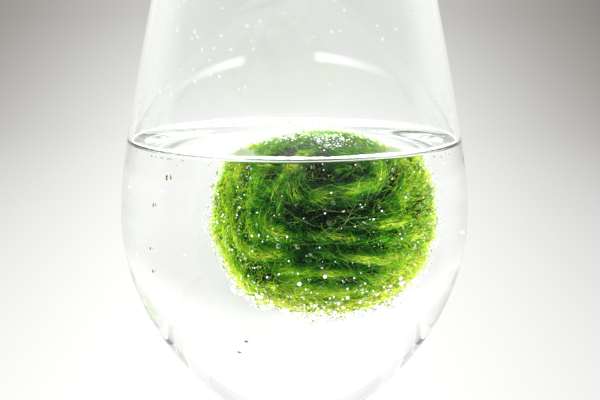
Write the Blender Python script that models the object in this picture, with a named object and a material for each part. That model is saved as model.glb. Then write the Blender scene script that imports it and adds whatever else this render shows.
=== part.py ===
"""Marimo moss ball floating in a stemmed glass of water.

Metres, +Z up. The glass stands on z = 0 with its axis on Z. Three pieces: the blown glass with its
stem and foot, the water that fills its bowl, and the moss ball, which floats with its crown just out
of the water.
"""

import math

import bmesh
import bpy
from mathutils import Vector, noise
from mathutils.geometry import interpolate_bezier

# Driving dimensions
GLASS_HEIGHT = 0.2156
RIM_RADIUS = 0.0333
BELLY_RADIUS = 0.044
BELLY_HEIGHT = 0.149
BOWL_BOTTOM = 0.090
WALL = 0.0013
BOWL_FLOOR = 0.0028  # thickness of the glass under the bowl, on the axis
STEM_RADIUS = 0.0036
FOOT_RADIUS = 0.038
FOOT_EDGE = 0.0022
RESTING_RING = (0.0325, 0.0368)  # inner and outer radius of the flat that the glass stands on
WATER_LEVEL = 0.1658
BALL_CENTRE = Vector((0.0062, -0.0100, 0.1494))
BALL_RADIUS = 0.0231
BALL_HALF_HEIGHT = 0.0212

# Details
FOOT_RECESS = 0.0010
STEM_FOOT_TOP = 0.016
STEM_BOWL_START = 0.074
FLARE_RADIUS = 0.013  # where the stem's flare runs into the bowl
MENISCUS = 0.0018
MENISCUS_FALL = 0.0027  # distance over which the curved edge of the water flattens out
FULLNESS = (2.35, 2.8)  # power of the ball's outline below and above: 2 is an ellipse, more is squarer
FULLNESS_TURN = (-0.3, 0.5)  # heights on a unit ball between which the one outline passes into the other
LUMP = 0.0007
LUMPS_PER_METRE = 90.0
GAP = 0.0003
UPPER_POINTS = 8
LOWER_POINTS = 12
SEGMENTS = 48
BALL_SUBDIVISIONS = 4


def clear_scene():
    for obj in list(bpy.data.objects):
        bpy.data.objects.remove(obj, do_unlink=True)


def make_material(name, colour, roughness, transmission=0.0, ior=1.45):
    material = bpy.data.materials.new(name)
    material.use_nodes = True
    shader = material.node_tree.nodes["Principled BSDF"]
    shader.inputs["Base Color"].default_value = (*colour, 1.0)
    shader.inputs["Roughness"].default_value = roughness
    shader.inputs["Metallic"].default_value = 0.0
    shader.inputs["Transmission Weight"].default_value = transmission
    shader.inputs["IOR"].default_value = ior
    return material


def curve(start, start_handle, end_handle, end, count):
    """Count points of (radius, height) along one cubic curve, both ends included."""
    corners = [Vector((r, z, 0.0)) for r, z in (start, start_handle, end_handle, end)]
    return [(p.x, p.y) for p in interpolate_bezier(*corners, count)]


def bowl_upper(radius_less, count):
    """The bowl's wall from under the lip down to the belly, radius_less inside the outer face."""
    rim = RIM_RADIUS - radius_less
    belly = BELLY_RADIUS - radius_less
    top = GLASS_HEIGHT - WALL / 2
    lean = 0.17
    handle = 0.016
    return curve(
        (rim, top),
        (rim + lean * handle, top - handle),
        (belly, BELLY_HEIGHT + handle),
        (belly, BELLY_HEIGHT),
        count,
    )


def bowl_lower(radius_less, bottom, count):
    """The bowl's wall from the belly down to its lowest point on the axis."""
    belly = BELLY_RADIUS - radius_less
    drop = 0.038 - 0.5 * radius_less
    floor_handle = 0.006
    return curve(
        (belly, BELLY_HEIGHT),
        (belly, BELLY_HEIGHT - drop),
        (floor_handle, bottom),
        (0.0, bottom),
        count,
    )


def lip(count):
    """The fire-polished rim: a half round between the outer and the inner face."""
    half = WALL / 2
    angles = [math.pi * i / count for i in range(1, count)]
    return [
        (RIM_RADIUS - half + half * math.cos(a), GLASS_HEIGHT - half + half * math.sin(a))
        for a in angles
    ]


def foot_and_stem():
    """From the middle of the underside out round the foot and up to the stem."""
    ring_in, ring_out = RESTING_RING
    slope = 0.004
    underside = [(0.0, FOOT_RECESS), (ring_in - slope, FOOT_RECESS), (ring_in, 0.0), (ring_out, 0.0)]
    edge = [(FOOT_RADIUS, FOOT_EDGE / 2), (FOOT_RADIUS - 0.0004, FOOT_EDGE)]
    foot_handle = (0.016, 0.0052)
    stem_handle_height = 0.0060
    top = curve(
        (FOOT_RADIUS - 0.0012, FOOT_EDGE + 0.0003),
        foot_handle,
        (STEM_RADIUS, stem_handle_height),
        (STEM_RADIUS, STEM_FOOT_TOP),
        7,
    )
    return underside + edge + top


def flare(bowl):
    """From the stem out to the lowest of the bowl's points, which it meets along the bowl's own slope."""
    (join_r, join_z), (next_r, next_z) = bowl[0], bowl[1]
    slope = (next_z - join_z) / (next_r - join_r)
    rise = 0.010
    reach = 0.0065
    return curve(
        (STEM_RADIUS, STEM_BOWL_START),
        (STEM_RADIUS, STEM_BOWL_START + rise),
        (join_r - reach, join_z - reach * slope),
        (join_r, join_z),
        6,
    )[:-1]


def glass_profile():
    outer_lower = [p for p in bowl_lower(0.0, BOWL_BOTTOM, LOWER_POINTS) if p[0] > FLARE_RADIUS]
    outer_upper = bowl_upper(0.0, UPPER_POINTS)
    inner_upper = bowl_upper(WALL, UPPER_POINTS)
    inner_lower = bowl_lower(WALL, BOWL_BOTTOM + BOWL_FLOOR, LOWER_POINTS)
    return (
        foot_and_stem()
        + flare(outer_lower[::-1])
        + outer_lower[::-1]
        + outer_upper[::-1][1:]
        + lip(4)
        + inner_upper
        + inner_lower[1:]
    )


def moved_in(points, distance):
    """The curve moved towards the axis and up by distance, square to itself."""
    moved = []
    for i, (r, z) in enumerate(points):
        before = points[max(i - 1, 0)]
        after = points[min(i + 1, len(points) - 1)]
        run, rise = after[0] - before[0], after[1] - before[1]
        length = math.hypot(run, rise)
        moved.append((r + distance * rise / length, z - distance * run / length))
    last_r, last_z = points[-1]
    moved[-1] = (last_r, last_z + distance)
    return moved


def water_profile():
    """From the water's lowest point up the wall, over the curved edge and in to the axis."""
    lower = bowl_lower(WALL, BOWL_BOTTOM + BOWL_FLOOR, LOWER_POINTS)
    wall = moved_in(bowl_upper(WALL, UPPER_POINTS) + lower[1:], GAP)
    top = WATER_LEVEL + MENISCUS
    above = [p for p in wall if p[1] >= top][-1]
    wet = [p for p in wall if p[1] < top]
    share = (top - wet[0][1]) / (above[1] - wet[0][1])
    edge_radius = wet[0][0] + share * (above[0] - wet[0][0])
    level_from = edge_radius - 4.0 * MENISCUS_FALL
    surface = [
        (edge_radius - step * MENISCUS_FALL, WATER_LEVEL + MENISCUS * math.exp(-step))
        for step in (0.0, 0.35, 0.9, 2.0)
    ]
    return wet[::-1] + surface + [(level_from, WATER_LEVEL), (0.0, WATER_LEVEL)]


def turned(name, profile, material):
    """The solid that an open profile, both ends on the axis, sweeps round Z."""
    mesh = bpy.data.meshes.new(name)
    shape = bmesh.new()
    points = [shape.verts.new((r, 0.0, z)) for r, z in profile]
    for a, b in zip(points, points[1:]):
        shape.edges.new((a, b))
    bmesh.ops.spin(
        shape,
        geom=shape.verts[:] + shape.edges[:],
        cent=(0.0, 0.0, 0.0),
        axis=(0.0, 0.0, 1.0),
        angle=math.tau,
        steps=SEGMENTS,
        use_merge=True,
    )
    bmesh.ops.remove_doubles(shape, verts=shape.verts, dist=1e-6)
    bmesh.ops.recalc_face_normals(shape, faces=shape.faces)
    shape.to_mesh(mesh)
    shape.free()
    mesh.shade_smooth()
    mesh.set_sharp_from_angle(angle=math.radians(40.0))
    mesh.materials.append(material)
    obj = bpy.data.objects.new(name, mesh)
    bpy.context.collection.objects.link(obj)
    return obj


def ball_reach(way):
    """Distance from the ball's middle to its smooth outline along a unit vector."""
    below, above = FULLNESS
    low, high = FULLNESS_TURN
    share = min(max((way.z - low) / (high - low), 0.0), 1.0)
    power = below + (above - below) * share
    across = math.hypot(way.x, way.y) / BALL_RADIUS
    up = abs(way.z) / BALL_HALF_HEIGHT
    return (across**power + up**power) ** (-1.0 / power)


def ball(name, grown, material=None):
    """The moss ball out to its tips, flattened on top and softly lumpy, grown by a margin."""
    mesh = bpy.data.meshes.new(name)
    shape = bmesh.new()
    bmesh.ops.create_icosphere(shape, subdivisions=BALL_SUBDIVISIONS, radius=1.0)
    for vert in shape.verts:
        way = vert.co.normalized()
        lump = LUMP * noise.noise(way * BALL_RADIUS * LUMPS_PER_METRE + Vector((3.0, 1.0, 7.0)))
        vert.co = way * (ball_reach(way) + grown + lump)
    shape.to_mesh(mesh)
    shape.free()
    mesh.shade_smooth()
    if material:
        mesh.materials.append(material)
    obj = bpy.data.objects.new(name, mesh)
    obj.location = BALL_CENTRE
    bpy.context.collection.objects.link(obj)
    return obj


def build_glass():
    clear_glass = make_material("clear_glass", (0.96, 0.98, 0.98), 0.02, transmission=1.0, ior=1.5)
    return turned("glass", glass_profile(), clear_glass)


def build_water():
    """The water, with the room that the ball takes cut out of it and open where the crown shows."""
    clear_water = make_material("clear_water", (0.97, 0.99, 0.98), 0.0, transmission=1.0, ior=1.333)
    water = turned("water", water_profile(), clear_water)
    room = ball("ball_room", GAP)
    room.hide_render = True
    room.display_type = "WIRE"
    cut = water.modifiers.new("room_for_ball", "BOOLEAN")
    cut.operation = "DIFFERENCE"
    cut.solver = "EXACT"
    cut.object = room
    return water


def build_moss_ball():
    moss = make_material("moss", (0.10, 0.24, 0.02), 0.85)
    return ball("moss_ball", 0.0, moss)


clear_scene()
build_glass()
build_water()
build_moss_ball()
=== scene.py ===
"""Looks of the marimo moss ball in its glass of water.

The glass and the water are turned surfaces that meet in one shared wall, so light bends there once.
The moss is a lumpy core under combed locks and loose fuzz, all of it thin closed tubes. Air bubbles,
droplets and stray bits of moss are small joined meshes. Metres, +Z up, the glass axis on Z.
"""

import math

import bmesh
import bpy
import numpy as np
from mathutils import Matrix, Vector
from mathutils.kdtree import KDTree


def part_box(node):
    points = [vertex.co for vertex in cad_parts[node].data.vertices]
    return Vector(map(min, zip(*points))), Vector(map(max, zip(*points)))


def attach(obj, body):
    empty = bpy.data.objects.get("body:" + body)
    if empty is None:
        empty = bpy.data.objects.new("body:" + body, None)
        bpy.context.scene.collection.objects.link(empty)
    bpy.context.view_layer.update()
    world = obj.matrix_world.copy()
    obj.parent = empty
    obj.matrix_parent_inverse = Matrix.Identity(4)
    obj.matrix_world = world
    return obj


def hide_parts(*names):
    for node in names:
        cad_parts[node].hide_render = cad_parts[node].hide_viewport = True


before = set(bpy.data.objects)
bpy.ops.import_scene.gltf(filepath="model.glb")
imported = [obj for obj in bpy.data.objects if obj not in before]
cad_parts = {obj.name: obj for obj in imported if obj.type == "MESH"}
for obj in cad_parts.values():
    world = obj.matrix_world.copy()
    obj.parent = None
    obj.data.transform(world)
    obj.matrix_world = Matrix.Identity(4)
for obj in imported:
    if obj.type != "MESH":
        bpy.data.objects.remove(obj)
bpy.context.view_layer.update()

MM = 0.001

# The glass, from the frame and from a stemmed glass's usual proportions
GLASS_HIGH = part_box("glass")[1]
GLASS_HEIGHT = GLASS_HIGH[2]
BELLY_RADIUS = GLASS_HIGH[0]
BELLY_HEIGHT = 149.0 * MM
RIM_RADIUS = 33.3 * MM
BOWL_BOTTOM = 90.0 * MM
WALL = 1.3 * MM
BOWL_FLOOR = 2.8 * MM
STEM_RADIUS = 3.6 * MM
FOOT_RADIUS = 38.0 * MM
FOOT_EDGE = 2.2 * MM
RESTING_RING = (32.5 * MM, 36.8 * MM)
FOOT_RECESS = 1.0 * MM
STEM_FOOT_TOP = 16.0 * MM
STEM_BOWL_START = 74.0 * MM
FLARE_RADIUS = 13.0 * MM

# The water
WATER_LEVEL = 165.8 * MM
MENISCUS = 1.9 * MM
CAPILLARY = 2.4 * MM
CURL = 0.5 * MM  # the steep part of the water's edge, right at the wall
SKIN = 0.02 * MM  # between the water's side and the wall it wets
CONTACT_GAP = 0.2 * MM  # the wall's other points keep this far from the line where the water ends

# The ball
BALL_LOW, BALL_HIGH = [np.array(corner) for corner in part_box("moss_ball")]
BALL_CENTRE = (BALL_LOW + BALL_HIGH) / 2
TIP_RADII = (BALL_HIGH - BALL_LOW) / 2
COAT = 2.2 * MM  # depth of the filaments over the core's mean surface
CORE_RADII = TIP_RADII - COAT
FULLNESS = (2.35, 2.8)  # power of the ball's outline below and above: 2 is an ellipse, more is squarer
FULLNESS_TURN = (-0.3, 0.5)  # heights on a unit ball between which the one outline passes into the other
WHORL = np.array([-0.12, -0.62, 0.78]) / np.linalg.norm([-0.12, -0.62, 0.78])
DARK_WAY = np.array([0.12, -0.97, 0.2])  # from the ball's middle to a hollow in the core, where the moss is also painted darker as shade
FLOW_RADIUS = 20 * MM

GLASS_IOR = 1.5
WATER_IOR = 1.333
MOSS_IOR = 1.38 / WATER_IOR  # wet moss against the water round it
SEGMENTS = 160

random = np.random.default_rng(7)


# ---------------------------------------------------------------- meshes


def mesh_object(name, points, faces, material, smooth=True):
    """A mesh object from point coordinates and a list of face arrays, each array of one face size."""
    mesh = bpy.data.meshes.new(name)
    mesh.vertices.add(len(points))
    mesh.vertices.foreach_set("co", np.asarray(points, np.float32).ravel())
    faces = [np.asarray(group, np.int32) for group in faces if len(group)]
    sizes = np.concatenate([np.full(len(group), group.shape[1]) for group in faces])
    mesh.loops.add(int(sizes.sum()))
    mesh.loops.foreach_set("vertex_index", np.concatenate([group.ravel() for group in faces]))
    mesh.polygons.add(len(sizes))
    mesh.polygons.foreach_set("loop_start", (np.cumsum(sizes) - sizes).astype(np.int32))
    mesh.update(calc_edges=True)
    mesh.validate()
    if smooth:
        mesh.shade_smooth()
    mesh.materials.append(material)
    obj = bpy.data.objects.new(name, mesh)
    bpy.context.collection.objects.link(obj)
    return obj


def set_point_value(obj, name, values):
    attribute = obj.data.attributes.new(name, "FLOAT", "POINT")
    attribute.data.foreach_set("value", np.asarray(values, np.float32).ravel())


def ringed_surface(start, rings, end):
    """Points and faces of a closed skin: a start point, rings of equal count, and an end point."""
    ring_count, around = rings.shape[:2]
    points = np.concatenate([[start], rings.reshape(-1, 3), [end]])
    first = 1 + np.arange(around)
    second = 1 + (np.arange(around) + 1) % around
    start_fan = np.stack([np.zeros(around, int), first, second], axis=1)
    steps = np.arange(ring_count - 1)[:, None] * around
    low_a, low_b = first + steps, second + steps
    walls = np.stack([low_a, low_a + around, low_b + around, low_b], axis=2).reshape(-1, 4)
    shift = (ring_count - 1) * around
    end_fan = np.stack([second + shift, first + shift, np.full(around, len(points) - 1)], axis=1)
    return points, [start_fan, walls, end_fan]


def turned_rings(profile):
    """Rings round Z through each (radius, height) of a profile."""
    angles = np.linspace(0, math.tau, SEGMENTS, endpoint=False)
    profile = np.asarray(profile)
    x = profile[:, :1] * np.cos(angles)
    y = profile[:, :1] * np.sin(angles)
    z = np.repeat(profile[:, 1:], SEGMENTS, axis=1)
    return np.stack([x, y, z], axis=2)


# ---------------------------------------------------------------- glass and water profiles


def cubic(start, start_handle, end_handle, end, count):
    """Count points along one cubic curve, both ends included."""
    t = np.linspace(0, 1, count)[:, None]
    a, b, c, d = np.array([start, start_handle, end_handle, end])
    return (1 - t) ** 3 * a + 3 * (1 - t) ** 2 * t * b + 3 * (1 - t) * t**2 * c + t**3 * d


def bowl_wall(less, bottom, upper_count, lower_count):
    """The bowl's wall from under the lip to its lowest point, less inside the outer face."""
    rim, belly, top = RIM_RADIUS - less, BELLY_RADIUS - less, GLASS_HEIGHT - WALL / 2
    lean, handle = 0.17, 16 * MM
    upper = cubic(
        (rim, top),
        (rim + lean * handle, top - handle),
        (belly, BELLY_HEIGHT + handle),
        (belly, BELLY_HEIGHT),
        upper_count,
    )
    lower = cubic(
        (belly, BELLY_HEIGHT),
        (belly, BELLY_HEIGHT - 38 * MM + less / 2),
        (6 * MM, bottom),
        (0, bottom),
        lower_count,
    )
    return np.concatenate([upper, lower[1:]])


def lip_arc(count):
    """The rounded rim, from the outer face over to the inner one."""
    angles = np.linspace(0, math.pi, count + 1)[1:-1]
    half = WALL / 2
    return np.stack(
        [RIM_RADIUS - half + half * np.cos(angles), GLASS_HEIGHT - half + half * np.sin(angles)], axis=1
    )


def foot_and_stem():
    """From the middle of the underside out round the foot and up to the stem."""
    ring_in, ring_out = RESTING_RING
    underside = [(0, FOOT_RECESS), (ring_in - 4 * MM, FOOT_RECESS), (ring_in, 0.0), (ring_out, 0.0)]
    angles = np.linspace(-0.5 * math.pi, 0.5 * math.pi, 9)[1:-1]
    edge = np.stack(
        [FOOT_RADIUS - 1.2 * MM + 1.2 * MM * np.cos(angles), FOOT_EDGE / 2 * (1 + np.sin(angles))], axis=1
    )
    top = cubic(
        (FOOT_RADIUS - 1.2 * MM, FOOT_EDGE),
        (16 * MM, 5.2 * MM),
        (STEM_RADIUS, 6 * MM),
        (STEM_RADIUS, STEM_FOOT_TOP),
        18,
    )
    return np.concatenate([underside, edge, top])


def flare(join, after):
    """From the stem out to a point of the bowl, which it meets along the bowl's own slope."""
    slope = (after[1] - join[1]) / (after[0] - join[0])
    reach = 6.5 * MM
    return cubic(
        (STEM_RADIUS, STEM_BOWL_START),
        (STEM_RADIUS, STEM_BOWL_START + 10 * MM),
        (join[0] - reach, join[1] - reach * slope),
        join,
        12,
    )[:-1]


INNER_WALL = bowl_wall(WALL, BOWL_BOTTOM + BOWL_FLOOR, 40, 52)


def wall_radius(height):
    """Radius of the bowl's inner face at a height."""
    return np.interp(height, INNER_WALL[::-1, 1], INNER_WALL[::-1, 0])


def glass_profile():
    """The whole outline of the glass, and how many of its points lie before the wet ones."""
    outer = bowl_wall(0.0, BOWL_BOTTOM, 36, 48)[::-1]
    outer = outer[np.argmax(outer[:, 0] > FLARE_RADIUS) :]
    contact = WATER_LEVEL + MENISCUS
    contact_point = [[wall_radius(contact), contact]]
    dry = INNER_WALL[INNER_WALL[:, 1] > contact + CONTACT_GAP]
    wet = INNER_WALL[INNER_WALL[:, 1] < contact - CONTACT_GAP]
    before = np.concatenate([foot_and_stem(), flare(outer[0], outer[1]), outer, lip_arc(8), dry])
    profile = np.concatenate([before, contact_point, wet])
    return profile, len(before)


# ---------------------------------------------------------------- materials


def new_material(name):
    material = bpy.data.materials.new(name)
    material.use_nodes = True
    nodes = material.node_tree.nodes
    shader = nodes["Principled BSDF"]
    return material, nodes, material.node_tree.links, shader, nodes["Material Output"]


def let_lamps_through(nodes, links, shader, output):
    """Lamps and diffuse light pass a clear face unbent, so what is behind it is lit."""
    path = nodes.new("ShaderNodeLightPath")
    clear = nodes.new("ShaderNodeBsdfTransparent")
    surface = shader.outputs[0]
    for ray in ("Is Shadow Ray", "Is Diffuse Ray"):
        mix = nodes.new("ShaderNodeMixShader")
        links.new(path.outputs[ray], mix.inputs["Fac"])
        links.new(surface, mix.inputs[1])
        links.new(clear.outputs["BSDF"], mix.inputs[2])
        surface = mix.outputs["Shader"]
    links.new(surface, output.inputs["Surface"])


def clear_material(name, colour, ior, roughness=0.0):
    material, nodes, links, shader, output = new_material(name)
    shader.inputs["Base Color"].default_value = (*colour, 1.0)
    shader.inputs["Roughness"].default_value = roughness
    shader.inputs["Transmission Weight"].default_value = 1.0
    shader.inputs["IOR"].default_value = ior
    let_lamps_through(nodes, links, shader, output)
    return material


def bubble_material():
    """Air in water: clear, with the index of air against water, which is below one."""
    material, nodes, links, shader, output = new_material("air_in_water")
    nodes.remove(shader)
    glass = nodes.new("ShaderNodeBsdfGlass")
    glass.inputs["Roughness"].default_value = 0.0
    glass.inputs["IOR"].default_value = 1.0 / WATER_IOR
    let_lamps_through(nodes, links, glass, output)
    return material


def froth_glint_material():
    """Bubbles too fine to see one by one: soft white, with some light coming through.
    The white is also a painted highlight, standing in for the glints that light makes on air bubbles.
    """
    material, nodes, links, shader, output = new_material("froth")
    shader.inputs["Base Color"].default_value = (0.95, 0.97, 0.95, 1.0)
    shader.inputs["Roughness"].default_value = 0.5
    shader.inputs["Transmission Weight"].default_value = 0.4
    shader.inputs["IOR"].default_value = 1.1
    return material


def fill_ramp(ramp, colours):
    elements = ramp.color_ramp.elements
    while len(elements) < len(colours):
        elements.new(1.0)
    for element, (place, colour) in zip(elements, colours):
        element.position = place
        element.color = (*colour, 1.0)


def moss_material(name, root_shade_colour, colours, translucency, roughness):
    """Living moss: light at the tip, tinted lock by lock, with light coming through.
    Its dark root colour is painted shade among the filaments.
    """
    material, nodes, links, shader, output = new_material(name)
    tint = nodes.new("ShaderNodeAttribute")
    tint.attribute_name = "tint"
    along = nodes.new("ShaderNodeAttribute")
    along.attribute_name = "along"
    ramp = nodes.new("ShaderNodeValToRGB")
    fill_ramp(ramp, colours)
    links.new(tint.outputs["Fac"], ramp.inputs["Fac"])
    mix = nodes.new("ShaderNodeMix")
    mix.data_type = "RGBA"
    # The dark root colour is painted shade among the filaments, strongest where along is low.
    mix.inputs["A"].default_value = (*root_shade_colour, 1.0)
    links.new(along.outputs["Fac"], mix.inputs["Factor"])
    links.new(ramp.outputs["Color"], mix.inputs["B"])
    links.new(mix.outputs["Result"], shader.inputs["Base Color"])
    shader.inputs["Roughness"].default_value = roughness
    shader.inputs["IOR"].default_value = MOSS_IOR
    through = nodes.new("ShaderNodeBsdfTranslucent")
    links.new(mix.outputs["Result"], through.inputs["Color"])
    blend = nodes.new("ShaderNodeMixShader")
    blend.inputs["Fac"].default_value = translucency
    links.new(shader.outputs["BSDF"], blend.inputs[1])
    links.new(through.outputs["BSDF"], blend.inputs[2])
    links.new(blend.outputs["Shader"], output.inputs["Surface"])
    return material


# ---------------------------------------------------------------- how the moss lies


def unit(vectors):
    return vectors / np.linalg.norm(vectors, axis=-1, keepdims=True)


def smooth_step(start, end, values):
    t = np.clip((values - start) / (end - start), 0, 1)
    return t * t * (3 - 2 * t)


def waves(wavelength, count=14):
    """A smooth random field of about unit spread, as a sum of sine waves near one wavelength."""
    ways = unit(random.normal(size=(count, 3))) * random.uniform(0.6, 1.5, (count, 1))
    phases = random.uniform(0, math.tau, count)
    return lambda p: np.sin(p @ (ways.T * math.tau / wavelength) + phases).sum(-1) * (2 / count) ** 0.5


SWERVE = [waves(30 * MM) for _ in range(3)]


def flow(u):
    """The way the moss is combed at unit directions u from the ball's middle: round the whorl, swerving."""
    swerve = np.stack([field(u * FLOW_RADIUS) for field in SWERVE], axis=-1)
    around = np.cross(WHORL, u) + 0.35 * swerve
    around -= (around * u).sum(-1, keepdims=True) * u
    return unit(around)


def streaked(field, u, step=0.9 * MM, steps=5):
    """The field averaged along the combing, so that its spots become streaks."""
    total = field(u * FLOW_RADIUS)
    for sense in (1, -1):
        at = u
        for _ in range(steps):
            at = unit(at + sense * step / FLOW_RADIUS * flow(at))
            total = total + field(at * FLOW_RADIUS)
    return total / (2 * steps + 1) ** 0.7


RIDGES = waves(5.5 * MM, 24)
LUMPS = waves(22 * MM)
FILM = waves(1.8 * MM, 24)


def ball_reach(u, radii):
    """Distance from the ball's middle to a smooth outline with the given radii."""
    power = np.interp(u[..., 2], FULLNESS_TURN, FULLNESS)
    across = np.hypot(u[..., 0], u[..., 1]) / radii[0]
    up = np.abs(u[..., 2]) / radii[2]
    return (across**power + up**power) ** (-1 / power)


def core_radius(u, ridge):
    """Distance from the ball's middle to the lumpy, ridged core at unit directions u."""
    body = ball_reach(u, CORE_RADII)
    pit = np.exp(-((1 - u @ DARK_WAY) / 0.09))
    return body + 0.45 * MM * ridge + 0.2 * MM * LUMPS(u * FLOW_RADIUS) - 0.6 * MM * pit


def painted_light_and_shade(u):
    """Painted light and shade on the moss at a direction: darkest in front (-Y), darker on top,
    lightest underneath.

    None of it is a colour that moss has. The dark front stands in for the way light falls off there,
    the darker top and the darker hollow towards DARK_WAY are painted shade, and the light underside
    is painted light from below.
    """
    front = np.clip(-u[..., 1], 0, 1)
    pit = np.exp(-((1 - u @ DARK_WAY) / 0.12))
    crown = np.clip((u[..., 2] - 0.55) / 0.35, 0, 1)
    under = np.clip(-u[..., 2] - 0.25, 0, 1)
    return 1 - 0.8 * front**2 - 0.25 * pit - 0.25 * crown + 0.6 * under


# ---------------------------------------------------------------- glass and water


def build_glass():
    clear_glass = clear_material("clear_glass", (0.985, 0.995, 0.99), GLASS_IOR)
    glass_to_water = clear_material("glass_to_water", (1.0, 1.0, 1.0), GLASS_IOR / WATER_IOR)
    profile, wet_from = glass_profile()
    bottom, floor = (0, 0, profile[0, 1]), (0, 0, profile[-1, 1])
    points, faces = ringed_surface(bottom, turned_rings(profile[1:-1]), floor)
    glass = mesh_object("wine_glass", points, [group[:, ::-1] for group in faces], clear_glass)
    glass.data.materials.append(glass_to_water)
    slots = np.zeros(len(glass.data.polygons), np.int32)
    slots[SEGMENTS * wet_from :] = 1
    glass.data.polygons.foreach_set("material_index", slots)
    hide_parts("glass")
    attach(glass, "root")


def crown_height(x, y):
    """Height of the wet film over the ball's crown, or far down where the ball is not."""
    radii = CORE_RADII + 0.7 * MM
    across = np.hypot(x - BALL_CENTRE[0], y - BALL_CENTRE[1]) / radii[0]
    patch = FILM(np.stack([x, y, 0 * x], axis=-1))
    power = FULLNESS[1]
    height = radii[2] * np.maximum(1 - across**power, 0.0) ** (1 / power)
    return BALL_CENTRE[2] + height + 0.17 * MM * patch * (across < 1)


def water_height(x, y):
    """The water's top: level, drawn up at the wall and round the crown, with a film over the crown."""
    edge = wall_radius(WATER_LEVEL + MENISCUS) - SKIN
    power = FULLNESS[1]
    crown_share = (1 - ((WATER_LEVEL - BALL_CENTRE[2]) / TIP_RADII[2]) ** power) ** (1 / power)
    from_wall = edge - np.hypot(x, y)
    from_crown = np.hypot(x - BALL_CENTRE[0], y - BALL_CENTRE[1]) - crown_share * TIP_RADII[0]
    rise = 0.55 * np.exp(-from_wall / CAPILLARY) + 0.45 * np.exp(-from_wall / CURL)
    height = WATER_LEVEL + MENISCUS * rise
    height += 0.15 * MM * np.exp(-np.abs(from_crown) / CAPILLARY)
    blend = 0.25 * MM
    return height + blend * np.log1p(np.exp((crown_height(x, y) - height) / blend))


def build_water():
    """The water to the wall, its side without an index of its own because the glass bends light there."""
    clear_water = clear_material("clear_water", (0.99, 1.0, 0.995), WATER_IOR)
    unseen_side = clear_material("water_on_wall", (1.0, 1.0, 1.0), 1.0)
    contact = WATER_LEVEL + MENISCUS
    wet = INNER_WALL[INNER_WALL[:, 1] < contact - CONTACT_GAP][::-1]
    side = np.stack([wet[:, 0] - SKIN, wet[:, 1] + SKIN * 0.5], axis=1)[1:]
    side = np.concatenate([side, [[wall_radius(contact) - SKIN, contact]]])
    side = side[side[:, 0] > 0.2 * MM]
    side_rings = turned_rings(side)
    edge = side[-1, 0]
    crown, curl = 15 * MM, edge - 5 * MM
    reach = np.concatenate(
        [
            np.arange(0.3 * MM, crown, 0.32 * MM),
            np.linspace(crown, curl, 24, endpoint=False),
            edge - 5 * MM * np.linspace(1, 0, 30) ** 2,
        ]
    )[::-1][1:]
    angles = np.linspace(0, math.tau, SEGMENTS, endpoint=False)
    share = (reach / edge)[:, None] ** 2
    x = BALL_CENTRE[0] * (1 - share) + reach[:, None] * np.cos(angles)
    y = BALL_CENTRE[1] * (1 - share) + reach[:, None] * np.sin(angles)
    top_rings = np.stack([x, y, water_height(x, y)], axis=2)
    centre = np.array([BALL_CENTRE[0], BALL_CENTRE[1]])
    middle = (*centre, float(water_height(*centre[:, None])[0]))
    rings = np.concatenate([side_rings, top_rings])
    points, faces = ringed_surface((0, 0, BOWL_BOTTOM + BOWL_FLOOR + SKIN), rings, middle)
    water = mesh_object("water_fill", points, [group[:, ::-1] for group in faces], clear_water)
    water.data.materials.append(unseen_side)
    slots = np.zeros(len(water.data.polygons), np.int32)
    slots[: SEGMENTS * len(side_rings)] = 1
    water.data.polygons.foreach_set("material_index", slots)
    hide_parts("water")
    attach(water, "root")


# ---------------------------------------------------------------- moss bodies


MOSS_COLOURS = [
    (0.0, (0.001, 0.006, 0.002)),
    (0.2, (0.004, 0.04, 0.005)),
    (0.4, (0.02, 0.24, 0.004)),
    (0.6, (0.17, 0.62, 0.004)),
    (0.8, (0.5, 0.78, 0.02)),
    (1.0, (0.82, 0.92, 0.1)),
]


def icosphere(subdivisions):
    shape = bmesh.new()
    bmesh.ops.create_icosphere(shape, subdivisions=subdivisions, radius=1.0)
    points = np.array([vert.co[:] for vert in shape.verts])
    faces = np.array([[vert.index for vert in face.verts] for face in shape.faces])
    shape.free()
    return points, faces


def ride(obj):
    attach(obj, "root")


def build_core():
    u, faces = icosphere(5)
    ridge = streaked(RIDGES, u)
    points = BALL_CENTRE + u * core_radius(u, ridge)[:, None]
    # The core keeps to the dark end of the moss colours, with no light through it: painted shade under the
    # locks.
    material = moss_material("moss_core", (0.002, 0.008, 0.001), MOSS_COLOURS[:3], 0.0, 0.9)
    core = mesh_object("moss_core", points, [faces], material)
    # The core's tint carries painted light and shade by direction, and painted shade in the furrows, darker
    # where the ridge is low.
    set_point_value(core, "tint", np.clip(0.3 * painted_light_and_shade(u) + 0.1 * ridge, 0, 1))
    set_point_value(core, "along", np.ones(len(u)))
    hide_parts("moss_ball")
    ride(core)


def tubes(paths, radii):
    """Closed three-sided tubes along paths (count, points, 3), tapering to a point at the last one."""
    count, steps = paths.shape[:2]
    along = unit(np.gradient(paths, axis=1))
    out = unit(paths - BALL_CENTRE + 1e-5)
    side = unit(np.cross(along, out) + 1e-6)
    lift = np.cross(side, along)
    corners = np.arange(3) * math.tau / 3
    ring = np.cos(corners)[:, None] * side[:, :-1, None] + np.sin(corners)[:, None] * lift[:, :-1, None]
    rings = paths[:, :-1, None] + radii[:, :-1, None, None] * ring
    points = np.concatenate([rings.reshape(count, -1, 3), paths[:, -1:]], axis=1)
    per = points.shape[1]
    quads, tips = [], [(2, 1, 0)]
    for corner in range(3):
        following = (corner + 1) % 3
        for start in range(0, per - 4, 3):
            quads.append((start + corner, start + following, start + following + 3, start + corner + 3))
        tips.append((per - 4 + corner, per - 4 + following, per - 1))
    offsets = np.arange(count)[:, None, None] * per
    faces = [(np.array(group)[None] + offsets).reshape(count * len(group), -1) for group in (quads, tips)]
    return points.reshape(-1, 3), faces


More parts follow.
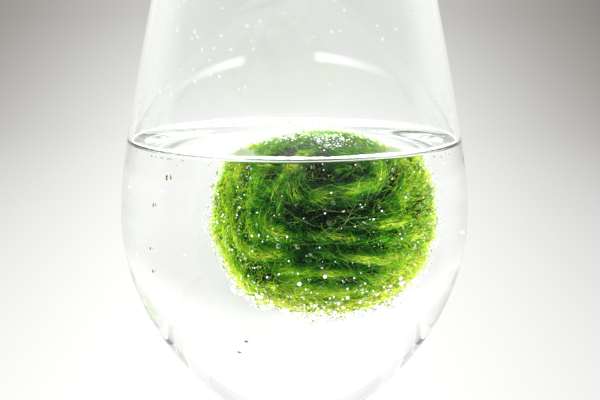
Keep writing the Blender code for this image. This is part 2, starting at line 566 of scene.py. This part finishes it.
def per_point(values):
    """Values of (count, points) along tubes, spread to the tubes' mesh points."""
    rings = np.repeat(values[:, :-1], 3, axis=1)
    return np.concatenate([rings, values[:, -1:]], axis=1)


def build_strands(name, paths, radii, tint, along, material):
    points, faces = tubes(paths, radii)
    strands = mesh_object(name, points, faces, material)
    set_point_value(strands, "tint", np.clip(per_point(tint), 0, 1))
    set_point_value(strands, "along", np.clip(per_point(along), 0, 1))
    ride(strands)


def scatter(count):
    return unit(random.normal(size=(count, 3)))


def kept(candidates, chance, count):
    """Count of the candidate directions, taken with a chance that differs from place to place."""
    chosen = candidates[random.random(len(candidates)) < chance]
    return chosen[:count]


LOCKS = 2200
LOCK_STEPS = 5
LOCK_PIECES = 3
LOCK_STRANDS = 8200


def combed(start, length, jitter, steps):
    """Paths over the ball from the start directions, along the combing turned a little by jitter."""
    path = [start]
    for _ in range(steps - 1):
        way = unit(flow(path[-1]) + jitter)
        path.append(unit(path[-1] + way * length / FLOW_RADIUS / (steps - 1)))
    return np.stack(path, axis=1)


def build_locks():
    """Locks of filaments lying along the combing, each pinched together towards its tip."""
    start = scatter(LOCKS)
    stray = random.choice([0.2, 0.5, 1.6], (LOCKS, 1), p=[0.5, 0.3, 0.2])
    length = random.uniform(3.0, 7.5, (LOCKS, 1)) * MM
    path = combed(start, length, random.normal(size=(LOCKS, 3)) * stray, LOCK_STEPS)
    tree = KDTree(LOCKS)
    for index, place in enumerate(start):
        tree.insert(place, index)
    tree.balance()
    lock_tint = random.normal(size=LOCKS) * 0.1
    lock_lift = random.uniform(0.2, 1.0, LOCKS)
    streaks = waves(6 * MM, 24)
    material = moss_material("moss_locks", (0.002, 0.012, 0.002), MOSS_COLOURS, 0.4, 0.4)
    t = np.linspace(0, 1, LOCK_STEPS)
    for piece in range(LOCK_PIECES):
        root = scatter(LOCK_STRANDS)
        lock = np.array([tree.find(place)[1] for place in root])
        pinch = (1 - 0.5 * t)[None, :, None]
        wander = random.normal(size=(LOCK_STRANDS, 1, 3)) * 0.04 * (t**1.5)[None, :, None]
        u = unit(path[lock] + (root - start[lock])[:, None] * pinch + wander)
        flat = u.reshape(-1, 3)
        ridge = streaked(RIDGES, flat).reshape(u.shape[:2])
        lift = (lock_lift[lock] * random.uniform(0.3, 1.3, LOCK_STRANDS))[:, None] * 1.6 * MM
        height = core_radius(flat, ridge.ravel()).reshape(u.shape[:2]) + lift * t**0.8 - 0.1 * MM
        radii = random.uniform(0.05, 0.095, (LOCK_STRANDS, 1)) * MM * (1.1 - 0.5 * t)
        own = lock_tint[lock] + 0.09 * random.normal(size=LOCK_STRANDS) + 0.16 * streaked(streaks, root)
        # The tint carries painted light and shade by direction and painted shade in the furrows (ridge); own
        # is the moss's own tone.
        tint = 0.1 + 0.62 * painted_light_and_shade(u) + own[:, None] + 0.22 * ridge
        along = np.tile(0.25 + 0.75 * t, (LOCK_STRANDS, 1))
        paths = BALL_CENTRE + u * height[..., None]
        build_strands(f"moss_locks_{piece + 1}", paths, radii, tint, along, material)


FUZZ_STRANDS = 17500


def build_fuzz():
    """Short filaments standing off the locks all over, light at their tips."""
    root = scatter(FUZZ_STRANDS)
    lean = 0.8 * flow(root) + 0.75 * random.normal(size=root.shape)
    length = random.uniform(1.2, 3.4, (FUZZ_STRANDS, 1)) * MM
    low = core_radius(root, streaked(RIDGES, root))[:, None] * root
    middle = low + 0.5 * length * unit(root + 0.35 * lean)
    tip = middle + 0.5 * length * unit(root * 0.7 + lean)
    reach = np.linalg.norm(tip, axis=1)
    tip *= np.minimum(ball_reach(unit(tip), TIP_RADII) / reach, 1.0)[:, None]
    paths = BALL_CENTRE + np.stack([low, middle, tip], axis=1)
    radii = random.uniform(0.04, 0.075, (FUZZ_STRANDS, 1)) * MM * np.array([1.1, 0.9, 0.5])
    # The tint carries painted light and shade by direction, with the strands' own random tone.
    tint = 0.2 + 0.7 * painted_light_and_shade(root) + 0.13 * random.normal(size=FUZZ_STRANDS)
    along = np.tile([0.2, 0.7, 1.0], (FUZZ_STRANDS, 1))
    material = moss_material("moss_fuzz", (0.01, 0.05, 0.004), MOSS_COLOURS, 0.55, 0.45)
    build_strands("moss_fuzz", paths, radii, tint[:, None] + 0 * along, along, material)


PALE_STRANDS = 130
PALE_STEPS = 8


def build_pale_strands():
    """Long dry filaments combed over the front, where the moss is painted dark as shade, and a few loose
    ends.
    """
    near = unit(DARK_WAY + 0.45 * random.normal(size=(PALE_STRANDS, 3)))
    length = random.uniform(3.0, 8.0, (PALE_STRANDS, 1)) * MM
    u = combed(near, length, 0.5 * random.normal(size=near.shape), PALE_STEPS)
    t = np.linspace(0, 1, PALE_STEPS)
    flat = u.reshape(-1, 3)
    height = core_radius(flat, streaked(RIDGES, flat)).reshape(u.shape[:2])
    height += (0.9 + 1.3 * random.random((PALE_STRANDS, 1)) * np.sin(math.pi * (0.15 + 0.8 * t))) * MM
    radii = random.uniform(0.022, 0.038, (PALE_STRANDS, 1)) * MM * (1.1 - 0.5 * t)
    tint = random.random((PALE_STRANDS, 1)) + 0 * t
    colours = [(0.0, (0.06, 0.3, 0.02)), (0.6, (0.24, 0.42, 0.06)), (1.0, (0.5, 0.52, 0.2))]
    material = moss_material("pale_strands", (0.1, 0.1, 0.05), colours, 0.3, 0.35)
    along = np.tile(0.4 + 0.6 * t, (PALE_STRANDS, 1))
    build_strands("pale_strands", BALL_CENTRE + u * height[..., None], radii, tint, along, material)


THREADS = 90
THREAD_STEPS = 8


def build_threads():
    """Loose threads and small tufts that hang under the ball and stand off its sides."""
    root = kept(scatter(THREADS * 8), 0.5 * np.ones(THREADS * 8), THREADS * 4)
    root = root[root[:, 2] < 0.3][:THREADS]
    t = np.linspace(0, 1, THREAD_STEPS)
    length = random.uniform(1.5, 4.0, (len(root), 1)) * MM
    way = unit(0.9 * root + np.array([0.0, 0.0, -0.5]) + 0.5 * random.normal(size=root.shape))
    bend = 0.6 * random.normal(size=root.shape)
    start = root * (ball_reach(root, CORE_RADII) + 0.5 * MM)[:, None]
    paths = start[:, None] + length[:, None] * (t[:, None] * way[:, None] + (t**2)[:, None] * bend[:, None])
    radii = random.uniform(0.03, 0.06, (len(root), 1)) * MM * (1.1 - 0.6 * t)
    tint = 0.55 + 0.25 * random.random((len(root), 1)) + 0 * t
    material = moss_material("loose_threads", (0.02, 0.06, 0.01), MOSS_COLOURS, 0.4, 0.45)
    build_strands("loose_threads", BALL_CENTRE + paths, radii, tint, 0.5 + 0.5 * t + 0 * tint, material)


def build_loose_bits():
    """Two dark crumbs of moss that hang in the water below the ball."""
    t = np.linspace(0, 1, THREAD_STEPS)
    strands = 9
    places = np.array([[-10.0, -12.0, 122.6], [-11.5, -12.0, 119.8]]) * MM
    starts = np.repeat(places, strands, axis=0)
    starts = starts + 0.2 * MM * random.normal(size=starts.shape)
    ways = unit(np.array([0.9, 0.0, -0.5]) + 0.5 * random.normal(size=starts.shape))
    bends = 0.5 * random.normal(size=starts.shape)
    paths = starts[:, None] + 0.6 * MM * (t[:, None] * ways[:, None] + (t**2)[:, None] * bends[:, None])
    radii = np.tile(0.06 * MM * (1.1 - 0.6 * t), (len(starts), 1))
    material = moss_material("loose_bits", (0.004, 0.015, 0.004), MOSS_COLOURS[:2], 0.0, 0.6)
    build_strands("loose_bits", paths, radii, 0.15 + 0 * radii, 1.0 + 0 * radii, material)


# ---------------------------------------------------------------- bubbles and droplets


def blobs(name, centres, radii, squash, subdivisions, material):
    """Small round bodies as one mesh. Squash is a matrix per body, or one for all."""
    base, faces = icosphere(subdivisions)
    shaped = base @ np.swapaxes(np.broadcast_to(squash, (len(centres), 3, 3)), 1, 2)
    points = centres[:, None] + radii[:, None, None] * shaped
    all_faces = (faces[None] + np.arange(len(centres))[:, None, None] * len(base)).reshape(-1, 3)
    body = mesh_object(name, points.reshape(-1, 3), [all_faces], material)
    ride(body)


def build_moss_bubbles(air, froth):
    """Bubbles of oxygen caught in the moss, thickest below and at the sides."""
    kinds = [
        ("fine", 950, 0.15, 0.34, 1, air),
        # The white kind are painted highlights as well as bubbles: they stand in for the glints of light on
        # air bubbles.
        ("white", 520, 0.09, 0.22, 1, froth),
        ("large", 110, 0.38, 0.75, 2, air),
    ]
    for name, count, low, high, detail, material in kinds:
        u = scatter(count * 9)
        chance = 0.32 + 0.7 * np.clip(-u[:, 2], 0, 1) ** 2 + 0.35 * np.abs(u[:, 0]) ** 3
        u = kept(u, chance * (u[:, 2] < 0.66), count)
        radii = low * (high / low) ** (random.random(len(u)) ** 1.4) * MM
        height = core_radius(u, streaked(RIDGES, u)) + random.uniform(2.0, 3.1, len(u)) * MM
        centres = BALL_CENTRE + u * height[:, None]
        blobs(f"moss_bubbles_{name}", centres, radii, np.eye(3), detail, material)


def on_wall(turns, heights, inward):
    """Points off the bowl's inner face, at angles from the front (towards +X) and heights."""
    radius = wall_radius(heights) - inward
    return np.stack([radius * np.sin(turns), -radius * np.cos(turns), heights], axis=1)


def build_froth(name, count, material):
    """The close layer of bubbles under the ball."""
    smallest, largest = 0.16, 0.5
    u = scatter(count * 8)
    u = kept(u, np.clip(-1.9 * u[:, 2] - 0.75, 0, 1), count)
    radii = smallest * (largest / smallest) ** (random.random(len(u)) ** 1.3) * MM
    height = core_radius(u, streaked(RIDGES, u)) + random.uniform(1.7, 2.9, len(u)) * MM
    blobs(name, BALL_CENTRE + u * height[:, None], radii, np.eye(3), 1, material)


def build_crown_glint_froth(material):
    """Flecks of white froth that the water has left on the wet crown.
    They also stand in for the glints of light on its wet film: painted highlights.
    """
    count = 950
    across = 14 * MM * np.sqrt(random.random(count * 4))
    turns = random.uniform(-math.pi, math.pi, count * 4)
    x, y = across * np.sin(turns), -across * np.cos(turns)
    patch = LUMPS(1.8 * np.stack([x, y, 0 * x], axis=1))
    places = np.stack([BALL_CENTRE[0] + x, BALL_CENTRE[1] + y], axis=1)
    places = kept(places, np.clip(0.35 + 0.5 * patch, 0.06, 1), count)
    radii = random.uniform(0.1, 0.3, len(places)) * MM
    height = water_height(places[:, 0], places[:, 1]) + random.uniform(0.4, 1.3, len(places)) * MM
    centres = np.concatenate([places, height[:, None]], axis=1)
    squash = np.diag([1.0, 1.0, 0.5])
    blobs("crown_glint_froth", centres, radii, squash, 1, material)


def build_wall_bubbles(air, froth):
    """Bubbles on the glass: four large ones at the left, fine ones all over, and a row at the waterline."""
    named_turns = np.radians([-45.5, -51.5, -53.5, -54.0])
    named_heights = np.array([161.5, 154.5, 143.8, 138.2]) * MM
    named_radii = np.array([0.85, 0.6, 0.5, 0.55]) * MM
    centres = on_wall(named_turns, named_heights, named_radii * 1.02 + SKIN)
    blobs("wall_bubbles", centres, named_radii, np.eye(3), 3, air)
    loose = 30
    turns = random.uniform(-math.pi, math.pi, loose)
    heights = random.uniform(134, 164, loose) * MM
    radii = random.uniform(0.1, 0.26, loose) * MM
    centres = on_wall(turns, heights, radii * 1.02 + SKIN)
    # These fine bubbles are white: painted highlights standing in for the glints of light on them.
    blobs("wall_glint_froth", centres, radii, np.eye(3), 2, froth)
    rim = 90
    turns = random.uniform(-math.pi, math.pi, rim)
    radii = random.uniform(0.12, 0.38, rim) * MM
    heights = WATER_LEVEL + 0.6 * MM - radii - random.exponential(0.5 * MM, rim)
    centres = on_wall(turns, heights, radii * 1.02 + SKIN)
    blobs("waterline_bubbles", centres, radii, np.eye(3), 1, air)


def build_froth_glint_line(material):
    """The white line of finest froth on the glass where the water ends, thick in front and thin behind.
    Its white is also a painted highlight for the bright line of light at the water's edge.
    """
    around, corners = 2 * SEGMENTS, 8
    turns = np.linspace(0, math.tau, around, endpoint=False)
    height = WATER_LEVEL + MENISCUS + 0.1 * MM
    places = wall_radius(height) * np.stack([np.cos(turns), np.sin(turns), 0 * turns], axis=1)
    front = 0.25 + 0.75 * smooth_step(0.1, 0.75, np.cos(turns + math.pi / 2))
    thick = front * (0.33 + 0.05 * FILM(places) + 0.05 * LUMPS(places)).clip(0.12, 0.5) * MM
    angles = np.arange(corners) * math.tau / corners
    out = wall_radius(height) - SKIN - 1.05 * thick[:, None] + thick[:, None] * np.cos(angles)
    up = height + thick[:, None] * np.sin(angles)
    points = np.stack([out * np.cos(turns)[:, None], out * np.sin(turns)[:, None], up], axis=2)
    first = np.arange(around)[:, None] * corners + np.arange(corners)
    side = np.arange(around)[:, None] * corners + (np.arange(corners) + 1) % corners
    size = around * corners
    faces = np.stack([first, (first + corners) % size, (side + corners) % size, side], 2).reshape(-1, 4)
    line = mesh_object("froth_glint_line", points.reshape(-1, 3), [faces], material)
    ride(line)


def build_droplets():
    """Drops of water left on the dry glass above the water."""
    count = 95
    side = random.choice([-0.85, 0.9, 2.6, -2.4], count, p=[0.45, 0.2, 0.2, 0.15])
    turns = side + 0.35 * random.normal(size=count)
    heights = random.uniform(WATER_LEVEL + 7 * MM, GLASS_HEIGHT - 4 * MM, count)
    radii = random.uniform(0.14, 0.5, count) * MM
    centres = on_wall(turns, heights, SKIN + 0.35 * radii)
    inward = np.stack([-np.sin(turns), np.cos(turns), np.zeros(count)], axis=1)
    squash = np.eye(3) - 0.68 * inward[:, :, None] * inward[:, None, :]
    material = clear_material("droplets", (1.0, 1.0, 1.0), WATER_IOR)
    blobs("droplets", centres, radii, squash, 2, material)


# ---------------------------------------------------------------- studio


PAPER_COLOURS = [
    (0.0, (0.0, 0.0, 0.0)),
    (0.35, (0.345, 0.325, 0.305)),
    (0.7, (0.68, 0.685, 0.67)),
    (1.0, (1.0, 1.0, 0.985)),
]


def stage_shape():
    """Points and faces of a floor that sweeps up into a wall all round."""
    flat, bend, height = 1.35, 0.75, 2.2
    bends = np.linspace(0, math.pi / 2, 22)[1:]
    profile = [(r, 0.0) for r in np.linspace(0.04, flat, 34)]
    profile += [(flat + bend * math.sin(a), bend * (1 - math.cos(a))) for a in bends]
    profile += [(flat + bend, 1.2), (flat + bend, height)]
    points = np.concatenate([[(0, 0, 0)], turned_rings(profile).reshape(-1, 3)])
    first = 1 + np.arange(SEGMENTS)
    second = 1 + (np.arange(SEGMENTS) + 1) % SEGMENTS
    fan = np.stack([np.zeros(SEGMENTS, int), first, second], axis=1)
    steps = np.arange(len(profile) - 1)[:, None] * SEGMENTS
    walls = np.stack([first + steps, first + steps + SEGMENTS, second + steps + SEGMENTS, second + steps], 2)
    return points, [fan, walls.reshape(-1, 4)]


def stage_readings(x, y, z):
    """How bright the stage is at its points, for each of the three ways of seeing it."""
    behind = smooth_step(0.0, 0.3, y)
    low = 1 - smooth_step(0.1, 0.24, z)
    narrow = 1 - smooth_step(0.42, 0.8, np.abs(x))
    corner_shade = (1 - np.exp(-7 * (x + 0.02) ** 2)) * narrow * behind
    far_shade = 0.25 * np.clip((y - 1.36) / 0.34, 0, 1.3) ** 2.2 * narrow * low
    turned = np.degrees(np.arctan2(np.abs(x), y))
    side_shade = 0.06 * smooth_step(0.02, 0.2, np.abs(x)) + 0.2 * smooth_step(34, 60, turned)
    side_shade *= 1 - smooth_step(0.15, 0.45, z)
    beyond_shade = 0.25 * smooth_step(1.3, 1.78, y) * (1 - smooth_step(0.14, 0.34, np.abs(x))) * low
    reach = np.hypot(x, y)
    front_shade = 0.75 * smooth_step(0.1, 0.3, -y) * (1 - smooth_step(0.7, 1.1, reach))
    rising = 0.89 + 0.11 * smooth_step(0.12, 0.3, z)
    bright = np.maximum(smooth_step(0.0, 1.0, z), smooth_step(-0.15, 0.3, y))
    return {
        "seen_directly": 0.96 * (1 - corner_shade) * (1 - far_shade),
        "seen_through_glass": rising * (1 - side_shade) * (1 - beyond_shade) * (1 - front_shade),
        "seen_in_glass": 0.05 + 0.7 * np.maximum(bright, 1 - smooth_step(0.08, 0.16, reach)),
    }


def reading_glow(nodes, links, name, strength):
    """A glow with the paper's colour for the reading stored under a name."""
    reading = nodes.new("ShaderNodeAttribute")
    reading.attribute_name = name
    ramp = nodes.new("ShaderNodeValToRGB")
    fill_ramp(ramp, PAPER_COLOURS)
    glow = nodes.new("ShaderNodeEmission")
    links.new(reading.outputs["Fac"], ramp.inputs["Fac"])
    links.new(ramp.outputs["Color"], glow.inputs["Color"])
    glow.inputs["Strength"].default_value = strength
    return glow.outputs["Emission"]


def paper_material():
    """Dull pale paper that glows with one reading for each kind of ray."""
    material, nodes, links, shader, output = new_material("studio_paper")
    shader.inputs["Base Color"].default_value = (0.02, 0.02, 0.02, 1.0)
    shader.inputs["Roughness"].default_value = 0.9
    shader.inputs["Specular IOR Level"].default_value = 0.0
    path = nodes.new("ShaderNodeLightPath")
    surface = reading_glow(nodes, links, "seen_directly", 1.0)
    kinds = [("Is Glossy Ray", "seen_in_glass", 1.0), ("Is Transmission Ray", "seen_through_glass", 1.09)]
    for ray, reading, strength in kinds:
        mix = nodes.new("ShaderNodeMixShader")
        links.new(path.outputs[ray], mix.inputs["Fac"])
        links.new(surface, mix.inputs[1])
        links.new(reading_glow(nodes, links, reading, strength), mix.inputs[2])
        surface = mix.outputs["Shader"]
    both = nodes.new("ShaderNodeAddShader")
    links.new(surface, both.inputs[0])
    links.new(shader.outputs["BSDF"], both.inputs[1])
    links.new(both.outputs["Shader"], output.inputs["Surface"])
    return material


def build_stage():
    """The pale floor and wall, with a pool of light behind the glass."""
    points, faces = stage_shape()
    sweep = mesh_object("studio_sweep", points, faces, paper_material())
    for name, values in stage_readings(*points.T).items():
        set_point_value(sweep, name, values)


def add_lamp(name, azimuth, elevation, distance, size, radiance):
    """A soft box facing the ball that lights the moss and isn't seen in the glass or the water.

    Azimuth in degrees from the front towards +X.
    """
    turn, tilt = math.radians(azimuth), math.radians(elevation)
    way = Vector((math.sin(turn) * math.cos(tilt), -math.cos(turn) * math.cos(tilt), math.sin(tilt)))
    data = bpy.data.lights.new(name, "AREA")
    data.shape = "RECTANGLE"
    data.size, data.size_y = size
    data.energy = radiance * math.pi * size[0] * size[1]
    lamp = bpy.data.objects.new(name, data)
    lamp.location = Vector(BALL_CENTRE) + way * distance
    lamp.rotation_euler = way.to_track_quat("Z", "Y").to_euler()
    lamp.visible_camera = False
    lamp.visible_transmission = False
    lamp.visible_glossy = False
    bpy.context.collection.objects.link(lamp)


def glow_material(name):
    """Light from the radiance stored at each point, and nothing in the way of what is behind."""
    material, nodes, links, shader, output = new_material(name)
    nodes.remove(shader)
    glow = nodes.new("ShaderNodeEmission")
    radiance = nodes.new("ShaderNodeAttribute")
    radiance.attribute_name = "radiance"
    links.new(radiance.outputs["Fac"], glow.inputs["Strength"])
    both = nodes.new("ShaderNodeAddShader")
    links.new(glow.outputs["Emission"], both.inputs[0])
    links.new(nodes.new("ShaderNodeBsdfTransparent").outputs["BSDF"], both.inputs[1])
    links.new(both.outputs["Shader"], output.inputs["Surface"])
    return material


def add_glow(name, points, radiance):
    """A glowing sheet from a grid of points that is seen only mirrored."""
    rows, columns = points.shape[:2]
    corner = np.arange(rows - 1)[:, None] * columns + np.arange(columns - 1)
    faces = np.stack([corner, corner + 1, corner + 1 + columns, corner + columns], 2).reshape(-1, 4)
    sheet = mesh_object(name, points.reshape(-1, 3), [faces], glow_material(name))
    set_point_value(sheet, "radiance", radiance)
    sheet.visible_camera = False
    sheet.visible_diffuse = False
    sheet.visible_transmission = False
    sheet.visible_shadow = False


def add_arc_light(name, first, last, fade):
    """A thin glowing arc in front of the glass, mirrored in the bowl as a soft streak."""
    turns = np.radians(np.linspace(first, last, 60))
    lean = np.radians(17.6 - 6.4 * (np.degrees(turns) / 75) ** 2)
    across = np.linspace(-1, 1, 7)
    reach, mirrored_at = 1.0, 0.19
    height = mirrored_at + 0.97 * reach * np.tan(lean)[:, None] + 7 * MM * across
    x = reach * np.sin(turns)[:, None] + 0 * across
    y = -reach * np.cos(turns)[:, None] + 0 * across
    along = np.linspace(0, 1, len(turns))
    soft_ends = smooth_step(0, 0.12, along) * (1 - smooth_step(0.88, 1.0, along))
    radiance = 12.0 * (fade(along) * soft_ends)[:, None] * (1 - across**2) ** 1.2
    add_glow(name, np.stack([x, y, height], axis=2), radiance)


def build_light():
    world = bpy.data.worlds.new("studio")
    world.use_nodes = True
    world.node_tree.nodes["Background"].inputs["Color"].default_value = (1.0, 1.0, 0.99, 1.0)
    world.node_tree.nodes["Background"].inputs["Strength"].default_value = 1.0
    bpy.context.scene.world = world
    add_lamp("back_box", 180, 30, 1.3, (2.0, 0.8), 5.0)
    add_lamp("left_box", -105, 12, 0.9, (0.8, 0.6), 19.0)
    add_lamp("right_box", 105, 12, 0.9, (0.8, 0.6), 19.0)
    add_lamp("top_box", 160, 62, 0.8, (0.6, 0.5), 12.0)
    add_lamp("top_front", -20, 55, 0.8, (0.3, 0.3), 14.0)
    add_lamp("low_box", 180, -35, 0.3, (0.4, 0.3), 16.0)
    add_lamp("low_front", 0, -48, 0.2, (0.3, 0.15), 18.0)
    add_arc_light("left_arc", -104, -34, lambda t: t**1.7)
    add_arc_light("right_arc", 12, 84, lambda t: (1 - t) ** 1.4)


CAMERA_ASIDE = 1.4 * MM
CAMERA_HEIGHT = 223.5 * MM
CAMERA_DISTANCE = 440.0 * MM
CAMERA_PITCH = 9.3


def build_camera():
    data = bpy.data.cameras.new("camera")
    data.lens = 105.0
    data.sensor_width = 36.0
    camera = bpy.data.objects.new("camera", data)
    camera.location = (CAMERA_ASIDE, -CAMERA_DISTANCE, CAMERA_HEIGHT)
    camera.rotation_euler = (math.radians(90 - CAMERA_PITCH), 0.0, 0.0)
    bpy.context.collection.objects.link(camera)
    bpy.context.scene.camera = camera
    bpy.context.scene.view_settings.view_transform = "Standard"


build_camera()
build_light()
build_stage()
build_glass()
build_water()
build_core()
build_locks()
build_fuzz()
build_pale_strands()
build_threads()
build_loose_bits()
air_in_water = bubble_material()
froth = froth_glint_material()
build_moss_bubbles(air_in_water, froth)
build_froth("froth_clear", 360, air_in_water)
# White froth under the ball, which also paints the glints of light on the bubbles there as highlights.
build_froth("froth_glint_white", 400, froth)
build_crown_glint_froth(froth)
build_wall_bubbles(air_in_water, froth)
build_froth_glint_line(froth)
build_droplets()

CLEAR_BOUNCES = 64  # enough to pass the glass, the water and the bubbles
cycles = bpy.context.scene.cycles
cycles.max_bounces = CLEAR_BOUNCES
cycles.glossy_bounces = CLEAR_BOUNCES
cycles.transmission_bounces = CLEAR_BOUNCES
cycles.transparent_max_bounces = 32
